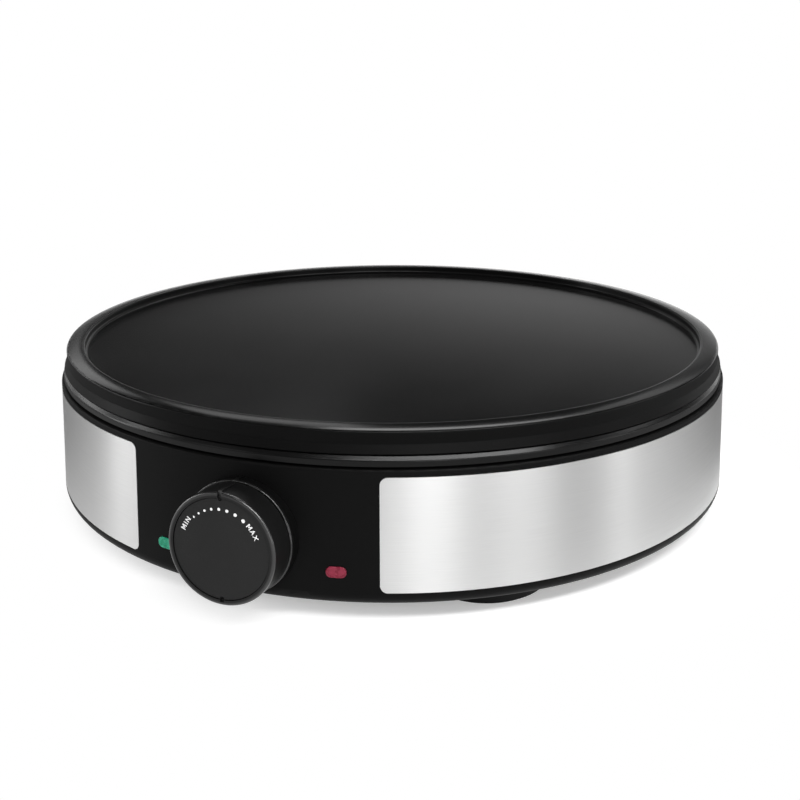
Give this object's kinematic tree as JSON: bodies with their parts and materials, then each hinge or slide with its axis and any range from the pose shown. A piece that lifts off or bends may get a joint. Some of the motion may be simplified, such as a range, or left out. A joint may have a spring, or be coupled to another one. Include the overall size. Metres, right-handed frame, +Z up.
{
  "type": "electric crepe maker",
  "caption": "Electric crepe maker: round non-stick hot plate with a raised rim on a black drum housing with steel panels, pilot lamps and a turning thermostat knob.",
  "frame": {"origin": "on the hot plate's vertical axis, at floor level under the rubber feet", "axes": "+Z up; the front with the knob faces -Y; the cord gland is at the rear and faces +Y; +X is to the right of someone who looks at the knob"},
  "size_m": [0.3118, 0.3402, 0.0744],
  "materials": {
    "plate_coating": "dark non-stick coating on cast aluminium",
    "black_moulding": "fine moulded texture",
    "knob_plastic": "smooth satin",
    "dial_plastic": "smooth satin with white marks",
    "brushed_panel": "brushed along the wall",
    "foot_rubber": "matt",
    "green_lens": "clear tinted",
    "red_lens": "clear tinted",
    "neon_glass": "clear",
    "lamp_holder": "natural",
    "zinc_steel": "zinc plated",
    "sheet_steel": "aluminised sheet",
    "element_sheath": "heat darkened",
    "ceramic": "unglazed",
    "copper_tube": "bare",
    "thermostat_case": "phenolic",
    "block_plastic": "natural",
    "brass_terminal": "plain",
    "wire_brown": "heat-resistant insulation",
    "wire_blue": "heat-resistant insulation",
    "wire_earth": "heat-resistant insulation",
    "sleeve_white": "glass-fibre sleeve"
  },
  "bodies": {
    "base": {"hot_plate": "plate_coating", "heating_element": "element_sheath", "element_terminals": "ceramic", "element_straps": "zinc_steel", "strap_screws": "zinc_steel", "thermostat_bulb": "copper_tube", "capillary_tube": "copper_tube", "bulb_strap": "zinc_steel", "bulb_screw": "zinc_steel", "heat_shield": "sheet_steel", "plate_standoffs": "zinc_steel", "pillar_screws": "zinc_steel", "trim_ring": "black_moulding", "housing": "black_moulding", "steel_panel_right": "brushed_panel", "steel_panel_left": "brushed_panel", "base_cover": "black_moulding", "cover_screws": "zinc_steel", "thermostat_bracket": "zinc_steel", "thermostat_body": "thermostat_case", "thermostat_screws": "zinc_steel", "lens_green": "green_lens", "lens_red": "red_lens", "lamp_holder_left": "lamp_holder", "lamp_holder_right": "lamp_holder", "neon_lamp_left": "neon_glass", "neon_lamp_right": "neon_glass", "cord_gland": "black_moulding", "terminal_block": "block_plastic", "block_screws": "brass_terminal", "spade_connectors": "sleeve_white", "pin_connectors": "brass_terminal", "live_wire": "wire_brown", "switched_wire": "wire_brown", "thermal_fuse": "ceramic", "neutral_wire": "wire_blue", "earth_wire": "wire_earth", "earth_lug": "brass_terminal", "earth_screw": "zinc_steel", "earth_nut": "zinc_steel", "lamp_lead_left": "sleeve_white", "lamp_lead_right": "sleeve_white", "foot_pad_38": "foot_rubber", "foot_pad_142": "foot_rubber", "foot_pad_218": "foot_rubber", "foot_pad_322": "foot_rubber"},
    "knob": {"knob": "knob_plastic", "dial_disc": "dial_plastic", "knob_clip": "zinc_steel", "thermostat_spindle": "brass_terminal"}
  },
  "joints": [
    {"name": "knob_turn", "type": "hinge", "parent": "base", "child": "knob", "pos_m": [0, -0.17167, 0.03302], "axis": [0, -0.9986, 0.0523], "range_deg": [-57, 57]}
  ]
}
